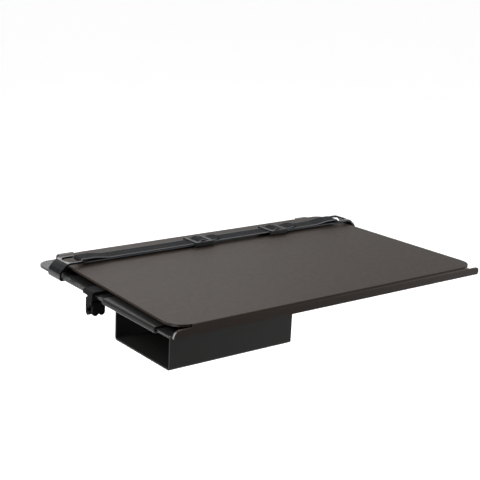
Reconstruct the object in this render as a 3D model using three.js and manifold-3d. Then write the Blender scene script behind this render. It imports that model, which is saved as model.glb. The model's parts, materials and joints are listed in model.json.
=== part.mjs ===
// A tethering table: a sheet-metal laptop platform with accessory rails along both sides,
// an elastic laptop strap, a hook-on drive compartment, a cable clip and a stand socket.
// Millimetres. +X is the user's right, +Y is away from the user, +Z is up.
// The origin is the centre of the stand socket's mouth.
import * as THREE from 'three';
import { mergeVertices } from 'three/addons/utils/BufferGeometryUtils.js';
import Module from 'manifold-3d';

const wasm = await Module();
wasm.setup();

// Clearances
const fitGap = 0.3;             // between pieces that touch
const cutMargin = 1;            // how far a cutting tool runs past what it cuts
const weldTolerance = 0.001;    // merges the corner points of one solid

// Platform sheet
const platformDepth = 268.5;    // lip's face to the rear edge
const platformFrontReach = 137.5; // socket's axis to the lip's face
const platformFrontInset = 4.5; // rail's free edge to the flat top's front corner
const platformRearInset = 15;   // rail's free edge to the flat top's rear corner
const sheetThickness = 2.5;
const bendRadius = 3;           // outside radius of the front and rear bends
const frontCornerRadius = 20;   // flat top, seen from above
const rearCornerRadius = 16;
const lipHeight = 11;           // top of the platform to the bottom of the lip
const lipInset = 2;             // rail's free edge to the lip's end
const lipLeftShoulder = 7.5;    // upper corner of the lip's left end
const lipLeftFoot = 0.4;        // lower corner of the lip's left end
const lipRightShoulder = 3;
const lipRightFoot = 2.5;
const rearLipClearance = 2;     // rear lip's end to the rail's foot

// Side rails
const railOuterWidth = 430;     // across the free edges of both rails
const railThickness = 2.5;
const railFlangeWidth = 27;     // free edge to web
const railFootWidth = 20;       // web to the foot's inner edge
const railBendRadius = 2.2;     // at the middle of the sheet
const railRearOverhang = 10;    // platform's rear edge to the rail's end
const railEndRadius = 18;       // rear outer corner, seen from above
const railNoseRadius = 3;       // front outer corner, seen from above
const railStudInset = 12;       // web to stud
const railStudFrontInset = 32.5; // lip's face to the front stud
const railStudRearInset = 26;   // platform's rear edge to the rear stud

// Stand bracket under the middle
const bracketWidth = 80;
const bracketDepth = 120;
const bracketThickness = 6;
const bracketCornerRadius = 8;
const bracketStudEdge = 8;      // stud axis to the bracket's edges
const smallThreadDiameter = 6.35;
const largeThreadDiameter = 9.53;
const threadHoleEdge = 14;      // hole axis to the bracket's end
const socketHeight = 46;        // socket mouth to the top of its flange
const socketFlangeDiameter = 64;
const socketFlangeThickness = 6;
const socketBodyDiameter = 36;
const socketBoreDiameter = 16.2;
const socketBoreDepth = 36;
const socketMouthChamfer = 1.2;
const socketScrewCircle = 50;   // pitch circle of the four cap screws
const sideBossDiameter = 20;
const sideBossReach = 26;       // socket axis to the boss face
const lockAxisHeight = 18;

// Locking screw
const lockScrewDiameter = 8;
const lockScrewLength = 40;
const lockScrewRecess = 3.7;    // bore wall to the screw's tip
const lockPadThickness = 3;
const lockPadRecess = 0.4;      // bore wall to the pad's face
const knobDiameter = 34;
const knobThickness = 15;
const knobHubDiameter = 18;
const knobHubLength = 6;
const knobLobes = 6;
const knobLobeDepth = 2.4;
const knobCover = 3;            // knob material beyond the screw's end
const knobEdge = 1.6;           // stepped edge of the knob

// Fasteners
const railStudDiameter = 4;
const railNutAcross = 7;
const railNutHeight = 3.2;
const bracketStudDiameter = 5;
const bracketNutAcross = 8;
const bracketNutHeight = 4;
const studEnd = 0.8;            // stud beyond its nut
const capHeadDiameter = 8.5;
const capHeadHeight = 5;
const capKeyAcross = 4;
const capKeyDepth = 2.5;
const capScrewDiameter = 5;
const capScrewCover = 1;        // bracket left above the screw's end

// Drive compartment
const driveDepth = 102.5;       // along Y
const driveHeight = 42.4;       // tray, top flanges to floor
const driveInset = 17;          // rail edge to the tray's open end
const driveBracketGap = 4;      // tray's inner end to the stand bracket
const driveFront = 28;          // lip face to the tray's front wall
const driveSheet = 2;
const driveBendRadius = 3;
const driveFlangeWidth = 14;
const hookReach = 20;           // top leg of the rail hook, past the rail's edge
const hookBendRadius = 1.6;     // at the middle of the sheet
const hookRearInset = 6;        // tray's back wall to the hook's rear end
const rivetHeadDiameter = 7;
const rivetHeadHeight = 1.6;
const rivetShankDiameter = 3.4;
const rivetTailDiameter = 5;
const rivetTailHeight = 1.4;
const rivetEndDistance = 34;
const rivetWallDistance = 8;

// Cable clip
const clipDriveGap = 12.5;      // tray's back wall to the clip's jaw
const clipJawWidth = 19;        // along Y
const clipJawReach = 17;        // top leg over the rail
const clipJawThickness = 3.2;
const clipJawSkirt = 5.2;       // top of the jaw to the lower edge of its full-width wall
const clipWall = 3.4;           // outer wall
const clipLegWidth = 10;        // narrower lower leg, along Y
const clipLegThickness = 3.4;
const clipLegReach = 15.5;      // under the rail, past its edge
const clipEdgeRadius = 1.2;
const clipShoulderRadius = 3;   // upper outer edge of the jaw
const clipBlockWidth = 7;       // hanging block, along Y
const clipBlockDrop = 17.2;      // below the lower leg
const clipBlockHeel = 3.4;      // the block's two lower corners
const gateThickness = 4;
const gateWidth = 15;           // along X
const gateDrop = 17.4;          // lower leg to the lowest points of the gate
const gateClearance = 0.6;      // between gate and block
const gateLobes = 2;
const gateHingeDrop = 3.6;      // lower leg to the hinge axis
const gatePinDiameter = 2;
const gatePinClearance = 0.05;
const gatePinRecess = 0.6;      // pin's end inside the ear's face
const grooveHeight = 5;
const grooveDepth = 4;          // into the block
const grooveDrop = 11;          // lower leg to the groove's middle

// Laptop strap
const strapRearInset = 40.5;    // platform's rear edge to the strap's middle
const strapWidth = 20;
const strapThickness = 1.2;
const strapHookWidth = 26;
const strapHookThickness = 2.2;
const strapHookToe = 10;        // leg under the rail
const strapHookReach = 32;      // rail's edge to the tip of the head
const strapHookHead = 24;       // flat length of the head
const strapHookBar = 4;         // bar that the strap goes round
const strapHookWindow = 19;     // window beside the bar, along X
const strapHookWindowRadius = 9; // its two outer corners
const strapHookCheek = 2.5;     // material beside the window
const strapHookTipRadius = 4;   // two corners of the head, seen from above
const strapHookLift = 4.5;      // platform top to the middle of the head
const strapHookShoulder = 4.5;  // platform top down to the wall's upper end
const strapHookToeBend = 2;     // at the middle of the hook's thickness
const strapHookBend = 9;        // its two upper bends
const strapLowRun = 2.5;        // platform top to the lower run's middle
const strapHighRun = 4.1;       // platform top to the upper run's middle
const strapLoopTop = 6.5;       // platform top to the loop's top run
const strapLoopBend = 0.9;
const strapRampStart = 12;      // tip of the hook to the top of the ramp
const strapRampEnd = 30;        // tip of the hook to where the runs lie together
const strapTail = 1;            // end of the lower run, inside the slider's end
const sliderLeft = -25;         // along X
const sliderRight = 88;         // along X
const sliderLength = 26;        // along X
const sliderWidth = 27;         // along Y
const sliderBottom = 0.4;       // platform top to the slider
const sliderTop = 6.3;
const sliderSkin = 1.2;         // top and bottom bars
const sliderWindow = 6;         // each of the two windows in the top
const sliderWindowPitch = 11;
const sliderEdge = 1;

// Smoothness
const roundSides = 32;
const boreSides = 40;
const studSides = 12;
const pinSides = 24;
const hexSides = 6;
const knobLobeSteps = 12;
const cornerSteps = 6;
const bendSteps = 3;
const narrowestMitreShare = 0.5;

// Places that follow from the sizes, from the socket's mouth up
const half = (size) => size / 2;
const bracketBottom = socketHeight + fitGap;
const bracketTop = bracketBottom + bracketThickness;
const platformUnder = bracketTop + fitGap;
const platformTop = platformUnder + sheetThickness;
const platformFront = -platformFrontReach;
const platformRear = platformFront + platformDepth;
const lipBottom = platformTop - lipHeight;
const lipHalfWidth = half(railOuterWidth) - lipInset;
const flatFront = platformFront + bendRadius;
const flatRear = platformRear - bendRadius;

const railEdge = half(railOuterWidth);
const railBottom = lipBottom;
const railFlangeTop = railBottom + railThickness;
const railWeb = railEdge - railFlangeWidth - half(railThickness);
const railFootTop = platformUnder - fitGap;
const railFootEnd = railWeb - railFootWidth;
const railStudX = railWeb - railStudInset;
const railStudFront = platformFront + railStudFrontInset;
const railStudRear = platformRear - railStudRearInset;
const railStudRows = [railStudFront, half(railStudFront + railStudRear), railStudRear];
const railStart = platformFront + sheetThickness + fitGap;
const railEnd = platformRear + railRearOverhang;
const railNutTop = railFootTop - railThickness - fitGap;
const railStudBottom = railNutTop - railNutHeight - studEnd;

const bracketStudX = half(bracketWidth) - bracketStudEdge;
const bracketStudY = half(bracketDepth) - bracketStudEdge;
const bracketNutTop = bracketBottom - fitGap;
const bracketStudBottom = bracketNutTop - bracketNutHeight - studEnd;
const threadHoleY = half(bracketDepth) - threadHoleEdge;

const boreWall = half(socketBoreDiameter);
const lockTip = boreWall + lockScrewRecess;
const lockEnd = lockTip + lockScrewLength;
const knobFace = lockEnd + knobCover;
const knobBack = knobFace - knobThickness;
const knobHubEnd = knobBack - knobHubLength;

const hookTop = railFlangeTop + fitGap + driveSheet;
const coverTop = railBottom - fitGap;
const coverBottom = coverTop - driveSheet;
const hookWall = railEdge + fitGap + half(driveSheet);
const trayLeft = -railEdge + driveInset;
const trayRight = -half(bracketWidth) - driveBracketGap;
const trayFront = platformFront + driveFront;
const trayBack = trayFront + driveDepth;
const trayTop = coverBottom - fitGap;
const trayFloor = trayTop - driveHeight;

const clipInner = -(railEdge + fitGap);
const clipOuter = clipInner - clipWall;
const clipSeat = railFlangeTop + fitGap;
const clipTop = clipSeat + clipJawThickness;
const clipFront = trayBack + clipDriveGap;
const clipCentre = clipFront + half(clipJawWidth);
const clipBack = clipFront + clipJawWidth;
const clipLegTop = railBottom - fitGap;
const clipLegBottom = clipLegTop - clipLegThickness;
const clipLegMiddle = clipLegTop - half(clipLegThickness);
const clipLegEnd = clipInner + clipLegReach;
const clipBlockFront = clipCentre - half(clipBlockWidth);
const clipBlockBottom = clipLegBottom - clipBlockDrop;
const gateBack = clipBlockFront - gateClearance;
const gateFront = gateBack - gateThickness;
const gateY = gateBack - half(gateThickness);
const gateHinge = clipLegBottom - gateHingeDrop;
const gateMiddle = half(clipOuter + clipLegEnd);
const gateLeft = gateMiddle - half(gateWidth);
const gateRight = gateMiddle + half(gateWidth);

const strapCentre = platformRear - strapRearInset;
const strapBack = strapCentre + half(strapWidth);
const strapFront = strapCentre - half(strapWidth);
const strapHookWall = railEdge + fitGap + half(strapHookThickness);
const strapHookTip = railEdge - strapHookReach;
const strapWindowInner = strapHookTip + strapHookBar;
const strapWindowOuter = strapWindowInner + strapHookWindow;
const strapRise = strapWindowInner + fitGap + half(strapThickness);

// Materials
const finish = (color, roughness, metalness) =>
  new THREE.MeshStandardMaterial({ color, roughness, metalness });
const blackCoat = finish(0x4a4745, 0.55, 0.2);
const compartmentCoat = finish(0x34353a, 0.6, 0.2);
const bareAluminium = finish(0xb4b7ba, 0.4, 0.9);
const zincSteel = finish(0xa9abad, 0.35, 0.95);
const blackSteel = finish(0x1d1e20, 0.4, 0.7);
const brass = finish(0xb08d46, 0.35, 0.9);
const clipPlastic = finish(0x1b1d21, 0.5, 0);
const glossPlastic = finish(0x131518, 0.25, 0);
const strapFabric = finish(0x2b2d33, 0.9, 0);

// Drawing helpers
const point = (x, y) => new THREE.Vector2(x, y);
const sides = [-1, 1];

// Corners of a rectangle, anticlockwise from its low corner.
function rectangle(x0, y0, x1, y1) {
  return [point(x0, y0), point(x1, y0), point(x1, y1), point(x0, y1)];
}

// A fillet of the given radius at one corner, as points from its first to its last tangent.
function fillet(before, corner, after, radius, steps) {
  if (radius <= 0) return [corner.clone()];
  const back = before.clone().sub(corner).normalize();
  const ahead = after.clone().sub(corner).normalize();
  const halfAngle = half(Math.acos(THREE.MathUtils.clamp(back.dot(ahead), -1, 1)));
  const reach = radius / Math.tan(halfAngle);
  const bisector = back.clone().add(ahead).normalize();
  const centre = corner.clone().addScaledVector(bisector, radius / Math.sin(halfAngle));
  const first = corner.clone().addScaledVector(back, reach).sub(centre);
  const last = corner.clone().addScaledVector(ahead, reach).sub(centre);
  const sweep = Math.atan2(first.cross(last), first.dot(last));
  return Array.from({ length: steps + 1 }, (_, i) =>
    first.clone().rotateAround(point(0, 0), (sweep * i) / steps).add(centre));
}

// A closed outline with rounded corners. radii holds one radius for each corner.
function roundedOutline(corners, radii, steps = cornerSteps) {
  return corners.flatMap((corner, i) => {
    const before = corners.at(i - 1);
    const after = corners[(i + 1) % corners.length];
    return fillet(before, corner, after, radii[i], steps);
  });
}

// A closed outline whose corners all have the same radius.
const evenlyRounded = (corners, radius) => roundedOutline(corners, corners.map(() => radius));

// An open line with rounded corners between its two ends. radii holds one for each of them.
function roundedLine(corners, radii, steps = bendSteps) {
  const inner = corners.slice(1, -1).flatMap((corner, i) =>
    fillet(corners[i], corner, corners[i + 2], radii[i], steps));
  return [corners[0].clone(), ...inner, corners.at(-1).clone()];
}

// The section of a bent strip of even thickness, from the line along its middle.
function stripSection(line, thickness) {
  const offset = (side) => line.map((here, i) => {
    const into = here.clone().sub(line[Math.max(i - 1, 0)]).normalize();
    const out = line[Math.min(i + 1, line.length - 1)].clone().sub(here).normalize();
    const along = into.clone().add(out).normalize();
    const widen = 1 / Math.max(along.dot(i === 0 ? out : into), narrowestMitreShare);
    const across = point(-along.y, along.x);
    return here.clone().addScaledVector(across, side * half(thickness) * widen);
  });
  return [...offset(-1), ...offset(1).reverse()];
}

function circleOutline(x, y, diameter, count = roundSides) {
  return Array.from({ length: count }, (_, i) => {
    const turn = (2 * Math.PI * i) / count;
    return point(x + half(diameter) * Math.cos(turn), y + half(diameter) * Math.sin(turn));
  });
}

// A hexagon from its width across flats.
const hexagon = (x, y, across) => circleOutline(x, y, across / Math.cos(Math.PI / hexSides), hexSides);

function prism(outline, depth, holes = []) {
  const shape = new THREE.Shape(outline);
  shape.holes = holes.map((hole) => new THREE.Path(hole));
  return new THREE.ExtrudeGeometry(shape, { depth, bevelEnabled: false });
}

// A prism whose outline is drawn in X and Y.
function prismZ(outline, z0, z1, holes = []) {
  return prism(outline, z1 - z0, holes).translate(0, 0, z0);
}

// A prism whose outline is drawn in X and Z.
function prismY(outline, y0, y1, holes = []) {
  return prism(outline, y1 - y0, holes).rotateX(Math.PI / 2).translate(0, y1, 0);
}

// A prism whose outline is drawn in Y and Z.
function prismX(outline, x0, x1, holes = []) {
  const turn = new THREE.Matrix4().makeBasis(
    new THREE.Vector3(0, 1, 0), new THREE.Vector3(0, 0, 1), new THREE.Vector3(1, 0, 0));
  return prism(outline, x1 - x0, holes).applyMatrix4(turn).translate(x0, 0, 0);
}

// A turned solid about Z. profile lists [radius, z] from the axis, up and back to the axis.
function turnedZ(profile, x = 0, y = 0, count = roundSides) {
  const points = profile.map(([radius, z]) => point(radius, z));
  return new THREE.LatheGeometry(points, count).rotateX(Math.PI / 2).translate(x, y, 0);
}

// A turned solid about a line along X. profile lists [radius, x].
function turnedX(profile, y, z, count = roundSides) {
  return turnedZ(profile, 0, 0, count).rotateY(Math.PI / 2).translate(0, y, z);
}

const rod = (radius, from, to) => [[0, from], [radius, from], [radius, to], [0, to]];

function toSolid(geometry) {
  const bare = new THREE.BufferGeometry();
  bare.setAttribute('position', geometry.attributes.position);
  bare.setIndex(geometry.index);
  const welded = mergeVertices(bare, weldTolerance);
  const corners = Array.from(welded.index.array);
  const triangles = [];
  for (let i = 0; i < corners.length; i += 3) {
    const [a, b, c] = corners.slice(i, i + 3);
    if (a !== b && b !== c && c !== a) triangles.push(a, b, c);
  }
  return new wasm.Manifold(new wasm.Mesh({
    numProp: 3,
    vertProperties: Float32Array.from(welded.attributes.position.array),
    triVerts: Uint32Array.from(triangles),
  }));
}

function toGeometry(solid) {
  const mesh = solid.getMesh();
  const geometry = new THREE.BufferGeometry();
  geometry.setAttribute('position', new THREE.BufferAttribute(mesh.vertProperties, mesh.numProp));
  geometry.setIndex(new THREE.BufferAttribute(mesh.triVerts, 1));
  return geometry;
}

// The first solid joined with the added ones, less the cut ones.
function carve(base, added, cuts) {
  const joined = added.reduce((sum, piece) => sum.add(toSolid(piece)), toSolid(base));
  return toGeometry(cuts.reduce((left, tool) => left.subtract(toSolid(tool)), joined));
}

const group = new THREE.Group();
group.name = 'tethering_table';

function place(name, geometry, material) {
  const flat = geometry.index ? geometry.toNonIndexed() : geometry;
  flat.computeVertexNormals();
  const mesh = new THREE.Mesh(flat, material);
  mesh.name = name;
  group.add(mesh);
}

// Places of what repeats
const fourAround = (x, y) => sides.flatMap((sideX) => sides.map((sideY) => point(sideX * x, sideY * y)));
const bracketStudPlaces = fourAround(bracketStudX, bracketStudY);
const capScrewPlaces = fourAround(
  half(socketScrewCircle) * Math.SQRT1_2, half(socketScrewCircle) * Math.SQRT1_2);
const railStudPlaces = sides.flatMap((side) =>
  railStudRows.map((y) => point(side * railStudX, y)));
const rivetPlaces = [trayLeft + rivetEndDistance, trayRight - rivetEndDistance].flatMap((x) =>
  [trayFront + rivetWallDistance, trayBack - rivetWallDistance].map((y) => point(x, y)));

// Platform sheet: half the flat top's width at a distance along Y
function platformHalfWidth(y) {
  const share = (y - flatFront) / (flatRear - flatFront);
  return railEdge - THREE.MathUtils.lerp(platformFrontInset, platformRearInset, share);
}

function flatTop() {
  const frontHalf = platformHalfWidth(flatFront);
  const rearHalf = platformHalfWidth(flatRear);
  const corners = [
    point(-frontHalf, flatFront), point(frontHalf, flatFront),
    point(rearHalf, flatRear), point(-rearHalf, flatRear),
  ];
  const radii = [frontCornerRadius, frontCornerRadius, rearCornerRadius, rearCornerRadius];
  return prismZ(roundedOutline(corners, radii), platformUnder, platformTop);
}

// A quarter bend with its skirt, drawn in Y and Z. side is -1 at the front edge, 1 at the rear.
function bentEdge(edge, side) {
  const middle = edge - side * half(sheetThickness);
  const line = roundedLine([
    point(edge - side * (bendRadius + cutMargin), platformTop - half(sheetThickness)),
    point(middle, platformTop - half(sheetThickness)),
    point(middle, lipBottom),
  ], [bendRadius - half(sheetThickness)], cornerSteps);
  return stripSection(line, sheetThickness);
}

function lipPlate() {
  const corners = rectangle(-lipHalfWidth, lipBottom, lipHalfWidth, platformTop - bendRadius);
  const radii = [lipLeftFoot, lipRightFoot, lipRightShoulder, lipLeftShoulder];
  return prismY(roundedOutline(corners, radii), platformFront, platformFront + sheetThickness);
}

function weldedStuds() {
  const top = platformUnder + half(sheetThickness);
  const railStud = rod(half(railStudDiameter), railStudBottom, top);
  const bracketStud = rod(half(bracketStudDiameter), bracketStudBottom, top);
  return [
    ...railStudPlaces.map(({ x, y }) => turnedZ(railStud, x, y, studSides)),
    ...bracketStudPlaces.map(({ x, y }) => turnedZ(bracketStud, x, y, studSides)),
  ];
}

function addPlatform() {
  const frontStraight = platformHalfWidth(flatFront) - frontCornerRadius;
  const rearStraight = railFootEnd - rearLipClearance;
  const parts = [
    prismX(bentEdge(platformFront, -1), -frontStraight, frontStraight),
    prismX(bentEdge(platformRear, 1), -rearStraight, rearStraight),
    lipPlate(),
    ...weldedStuds(),
  ];
  place('platform_sheet', carve(flatTop(), parts, []), blackCoat);
}

// Side rails: side is -1 for the left one, 1 for the right one
function railOutline(side) {
  const corners = [
    point(side * railEdge, railStart), point(side * railEdge, railEnd),
    point(side * railFootEnd, railEnd), point(side * railFootEnd, railStart),
  ];
  return roundedOutline(corners, [railNoseRadius, railEndRadius, 0, 0]);
}

function railSection(side) {
  const flangeMiddle = railBottom + half(railThickness);
  const footMiddle = railFootTop - half(railThickness);
  const line = roundedLine([
    point(side * (railEdge + cutMargin), flangeMiddle), point(side * railWeb, flangeMiddle),
    point(side * railWeb, footMiddle), point(side * (railFootEnd - cutMargin), footMiddle),
  ], [railBendRadius, railBendRadius]);
  return stripSection(line, railThickness);
}

function addRail(name, side) {
  const bar = toSolid(prismY(railSection(side), railStart - cutMargin, railEnd + cutMargin));
  const trimmed = bar.intersect(toSolid(prismZ(railOutline(side), railBottom - cutMargin, platformTop)));
  const hole = rod(half(railStudDiameter) + fitGap, railBottom, platformTop);
  const drilled = railStudPlaces.filter(({ x }) => x * side > 0).reduce((left, { x, y }) =>
    left.subtract(toSolid(turnedZ(hole, x, y, studSides))), trimmed);
  place(name, toGeometry(drilled), blackCoat);
}

// Nuts on the welded studs
function addNuts(name, places, top, height, across, studDiameter) {
  places.forEach(({ x, y }, i) => {
    const bore = circleOutline(x, y, studDiameter + 2 * fitGap, studSides);
    const nut = prismZ(hexagon(x, y, across), top - height, top, [bore]);
    place(`${name}_${i + 1}`, nut, zincSteel);
  });
}

// Stand bracket and socket
function addBracket() {
  const corners = rectangle(
    -half(bracketWidth), -half(bracketDepth), half(bracketWidth), half(bracketDepth));
  const holes = [
    ...bracketStudPlaces.map(({ x, y }) =>
      circleOutline(x, y, bracketStudDiameter + 2 * fitGap, studSides)),
    ...capScrewPlaces.map(({ x, y }) => circleOutline(x, y, capScrewDiameter + 2 * fitGap, studSides)),
    circleOutline(0, -threadHoleY, smallThreadDiameter),
    circleOutline(0, threadHoleY, largeThreadDiameter),
  ];
  const plate = prismZ(evenlyRounded(corners, bracketCornerRadius), bracketBottom, bracketTop, holes);
  place('stand_bracket', plate, bareAluminium);
}

function addSocket() {
  const flangeBottom = socketHeight - socketFlangeThickness;
  const bodyRadius = half(socketBodyDiameter);
  const flangeRadius = half(socketFlangeDiameter);
  const body = turnedZ([
    [0, 0], [bodyRadius - socketMouthChamfer, 0], [bodyRadius, socketMouthChamfer],
    [bodyRadius, flangeBottom], [flangeRadius, flangeBottom],
    [flangeRadius, socketHeight], [0, socketHeight],
  ], 0, 0, boreSides);
  const bore = turnedZ([
    [0, -cutMargin], [boreWall + socketMouthChamfer + cutMargin, -cutMargin],
    [boreWall, socketMouthChamfer], [boreWall, socketBoreDepth], [0, socketBoreDepth],
  ], 0, 0, boreSides);
  const boss = turnedX(rod(half(sideBossDiameter), boreWall, sideBossReach), 0, lockAxisHeight);
  const screwHole = rod(half(lockScrewDiameter) + fitGap, 0, sideBossReach + cutMargin);
  const flangeHole = rod(
    half(capScrewDiameter) + fitGap, flangeBottom - cutMargin, socketHeight + cutMargin);
  const holes = [
    bore,
    turnedX(screwHole, 0, lockAxisHeight),
    ...capScrewPlaces.map(({ x, y }) => turnedZ(flangeHole, x, y, studSides)),
  ];
  place('stand_socket', carve(body, [boss], holes), bareAluminium);
}

function addCapScrews() {
  const seat = socketHeight - socketFlangeThickness - fitGap;
  const headBottom = seat - capHeadHeight;
  const tip = bracketTop - capScrewCover;
  const profile = [
    [0, headBottom], [half(capHeadDiameter), headBottom], [half(capHeadDiameter), seat],
    [half(capScrewDiameter), seat], [half(capScrewDiameter), tip], [0, tip],
  ];
  capScrewPlaces.forEach(({ x, y }, i) => {
    const key = prismZ(hexagon(x, y, capKeyAcross), headBottom - cutMargin, headBottom + capKeyDepth);
    const screw = carve(turnedZ(profile, x, y, pinSides), [], [key]);
    place(`cap_screw_${i + 1}`, screw, blackSteel);
  });
}

// Locking screw, its pad in the bore and its knob
function knobOutline(shrink) {
  const count = knobLobes * knobLobeSteps;
  return Array.from({ length: count }, (_, i) => {
    const turn = (2 * Math.PI * i) / count;
    const hollow = half(knobLobeDepth) * (1 - Math.cos(knobLobes * turn));
    const radius = half(knobDiameter) - hollow - shrink;
    return point(radius * Math.cos(turn), lockAxisHeight + radius * Math.sin(turn));
  });
}

function addLock() {
  const padFace = boreWall + lockPadRecess;
  const padProfile = rod(half(lockScrewDiameter), padFace, padFace + lockPadThickness);
  place('lock_pad', turnedX(padProfile, 0, lockAxisHeight), brass);
  const screwProfile = rod(half(lockScrewDiameter), lockTip, lockEnd);
  place('lock_screw', turnedX(screwProfile, 0, lockAxisHeight), zincSteel);

  const grip = prismX(knobOutline(0), knobBack + knobEdge, knobFace - knobEdge);
  const core = prismX(knobOutline(knobEdge), knobBack, knobFace);
  const hub = turnedX(rod(half(knobHubDiameter), knobHubEnd, knobBack + knobEdge), 0, lockAxisHeight);
  const hole = rod(half(lockScrewDiameter) + fitGap, knobHubEnd - cutMargin, lockEnd + fitGap);
  place('lock_knob', carve(grip, [core, hub], [turnedX(hole, 0, lockAxisHeight)]), clipPlastic);
}

// Drive compartment
function rivetHoles() {
  const hole = rod(half(rivetShankDiameter) + fitGap, trayTop - driveFlangeWidth, platformTop);
  return rivetPlaces.map(({ x, y }) => turnedZ(hole, x, y, studSides));
}

function addDriveCover() {
  const legMiddle = hookTop - half(driveSheet);
  const coverMiddle = coverTop - half(driveSheet);
  const line = roundedLine([
    point(-hookWall + hookReach, legMiddle), point(-hookWall, legMiddle),
    point(-hookWall, coverMiddle), point(trayRight, coverMiddle),
  ], [hookBendRadius, hookBendRadius]);
  const sheet = prismY(stripSection(line, driveSheet), trayFront, trayBack);
  const hookEnd = prismY([
    point(-hookWall - driveSheet, coverBottom - cutMargin),
    point(-railEdge + fitGap, coverBottom - cutMargin), point(-railEdge + fitGap, railBottom),
    point(-hookWall + hookReach + cutMargin, railBottom),
    point(-hookWall + hookReach + cutMargin, hookTop + cutMargin),
    point(-hookWall - driveSheet, hookTop + cutMargin),
  ], trayBack - hookRearInset, trayBack + cutMargin);
  place('drive_cover', carve(sheet, [], [hookEnd, ...rivetHoles()]), compartmentCoat);
}

function addDriveTray() {
  const inset = half(driveSheet);
  const corners = [
    point(trayFront + driveFlangeWidth, trayTop - inset), point(trayFront + inset, trayTop - inset),
    point(trayFront + inset, trayFloor + inset), point(trayBack - inset, trayFloor + inset),
    point(trayBack - inset, trayTop - inset), point(trayBack - driveFlangeWidth, trayTop - inset),
  ];
  const radii = corners.slice(1, -1).map(() => driveBendRadius - inset);
  const line = roundedLine(corners, radii, cornerSteps);
  const sheet = prismX(stripSection(line, driveSheet), trayLeft, trayRight);
  place('drive_tray', carve(sheet, [], rivetHoles()), compartmentCoat);
}

function addRivets() {
  const headSeat = coverTop + fitGap;
  const headTop = headSeat + rivetHeadHeight;
  const tailSeat = trayTop - driveSheet - fitGap;
  const tailBottom = tailSeat - rivetTailHeight;
  const shank = half(rivetShankDiameter);
  const profile = [
    [0, tailBottom], [half(rivetTailDiameter), tailBottom], [half(rivetTailDiameter), tailSeat],
    [shank, tailSeat], [shank, headSeat], [half(rivetHeadDiameter), headSeat],
    [shank, headTop], [0, headTop],
  ];
  rivetPlaces.forEach(({ x, y }, i) => {
    place(`drive_rivet_${i + 1}`, turnedZ(profile, x, y, studSides), blackSteel);
  });
}

// Cable clip
function clipJaw() {
  const corners = [
    point(clipOuter, clipTop), point(clipOuter, clipTop - clipJawSkirt),
    point(clipInner, clipTop - clipJawSkirt), point(clipInner, clipSeat),
    point(clipInner + clipJawReach, clipSeat), point(clipInner + clipJawReach, clipTop),
  ];
  const radii = [clipShoulderRadius, 0, 0, 0, clipEdgeRadius, clipEdgeRadius];
  return prismY(roundedOutline(corners, radii), clipFront, clipBack);
}

// The narrower part that goes round the rail's edge and under it.
function clipLeg() {
  const corners = [
    point(clipOuter, clipTop - clipShoulderRadius), point(clipOuter, clipLegBottom),
    point(clipLegEnd, clipLegBottom), point(clipLegEnd, clipLegTop),
    point(clipInner, clipLegTop), point(clipInner, clipTop - clipShoulderRadius),
  ];
  return prismY(corners, clipFront, clipFront + clipLegWidth);
}

// The block that hangs below the leg, round along its lower end.
function clipBlock() {
  const corners = rectangle(
    clipBlockFront, clipBlockBottom, clipBlockFront + clipBlockWidth, clipLegMiddle);
  return prismX(
    roundedOutline(corners, [clipBlockHeel, clipBlockHeel, 0, 0]), clipOuter, clipLegEnd);
}

// Two ears that carry the gate's pin, one at each end of the gate.
function gateEars() {
  const outline = rectangle(gateFront, gateHinge - half(gateThickness), clipCentre, clipLegMiddle);
  return [
    prismX(outline, clipOuter, gateLeft - fitGap),
    prismX(outline, gateRight + fitGap, clipLegEnd),
  ];
}

function addClipBody() {
  const grooveMiddle = clipLegBottom - grooveDrop;
  const groove = prismX(
    rectangle(clipBlockFront - cutMargin, grooveMiddle - half(grooveHeight),
      clipBlockFront + grooveDepth, grooveMiddle + half(grooveHeight)),
    clipOuter - cutMargin, clipLegEnd + cutMargin);
  const knuckleRoom = turnedX(
    rod(half(gateThickness) + gateClearance, gateLeft - fitGap, gateRight + fitGap), gateY, gateHinge);
  const pinHole = turnedX(
    rod(half(gatePinDiameter) + gatePinClearance, clipOuter - cutMargin, clipLegEnd + cutMargin),
    gateY, gateHinge, pinSides);
  const body = carve(clipJaw(), [clipLeg(), clipBlock(), ...gateEars()], [groove, knuckleRoom, pinHole]);
  place('clip_body', body, clipPlastic);
}

// The gate's plate, drawn in X and Z, with a row of round lobes along its lower edge.
function gateOutline() {
  const lobe = half(gateWidth) / gateLobes;
  const lobeMiddle = clipLegBottom - gateDrop + lobe;
  const lobes = Array.from({ length: gateLobes * cornerSteps + 1 }, (_, i) => {
    const index = Math.min(Math.floor(i / cornerSteps), gateLobes - 1);
    const turn = Math.PI * (1 + i / cornerSteps - index);
    const centre = gateLeft + lobe * (2 * index + 1);
    return point(centre + lobe * Math.cos(turn), lobeMiddle + lobe * Math.sin(turn));
  });
  return [...lobes, point(gateRight, gateHinge), point(gateLeft, gateHinge)];
}

function addGate() {
  const plate = prismY(gateOutline(), gateFront, gateBack);
  const knuckle = turnedX(rod(half(gateThickness), gateLeft, gateRight), gateY, gateHinge);
  const pinHole = turnedX(
    rod(half(gatePinDiameter) + gatePinClearance, gateLeft - cutMargin, gateRight + cutMargin),
    gateY, gateHinge, pinSides);
  place('clip_gate', carve(plate, [knuckle], [pinHole]), clipPlastic);
  const pin = rod(half(gatePinDiameter), clipOuter + gatePinRecess, clipLegEnd - gatePinRecess);
  place('clip_pin', turnedX(pin, gateY, gateHinge, pinSides), zincSteel);
}

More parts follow.
